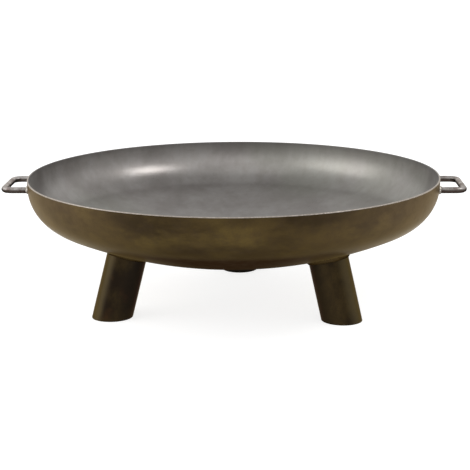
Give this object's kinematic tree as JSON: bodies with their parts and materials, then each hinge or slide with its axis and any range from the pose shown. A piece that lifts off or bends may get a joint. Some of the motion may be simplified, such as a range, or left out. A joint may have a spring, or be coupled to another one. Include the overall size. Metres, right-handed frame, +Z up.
{
  "type": "fire bowl",
  "caption": "Wide dished steel fire bowl with bar handles at both sides, welded onto short splayed tube legs, for an open coal or wood fire.",
  "frame": {"origin": "on the bowl's axis, at the floor under the feet", "axes": "+Z up, along the bowl's axis; +X out through the right handle, so the two handles lie on the X axis; +Y towards the rear leg"},
  "size_m": [0.8976, 0.8, 0.256],
  "materials": {
    "bowl_steel": "bare hot-rolled sheet, oiled: grey inside, olive brown outside, with a bright ground rim",
    "leg_steel": "bare tube with dark mill scale, oiled",
    "handle_steel": "bare round bar, warm grey",
    "weld_metal": "rippled weld bead, brushed"
  },
  "bodies": {
    "root": {"bowl": "bowl_steel", "leg_left": "leg_steel", "leg_right": "leg_steel", "leg_rear": "leg_steel", "handle_left": "handle_steel", "handle_right": "handle_steel", "leg_weld_left": "weld_metal", "leg_weld_right": "weld_metal", "leg_weld_rear": "weld_metal", "handle_weld_left_front": "weld_metal", "handle_weld_left_rear": "weld_metal", "handle_weld_right_front": "weld_metal", "handle_weld_right_rear": "weld_metal"}
  },
  "joints": []
}
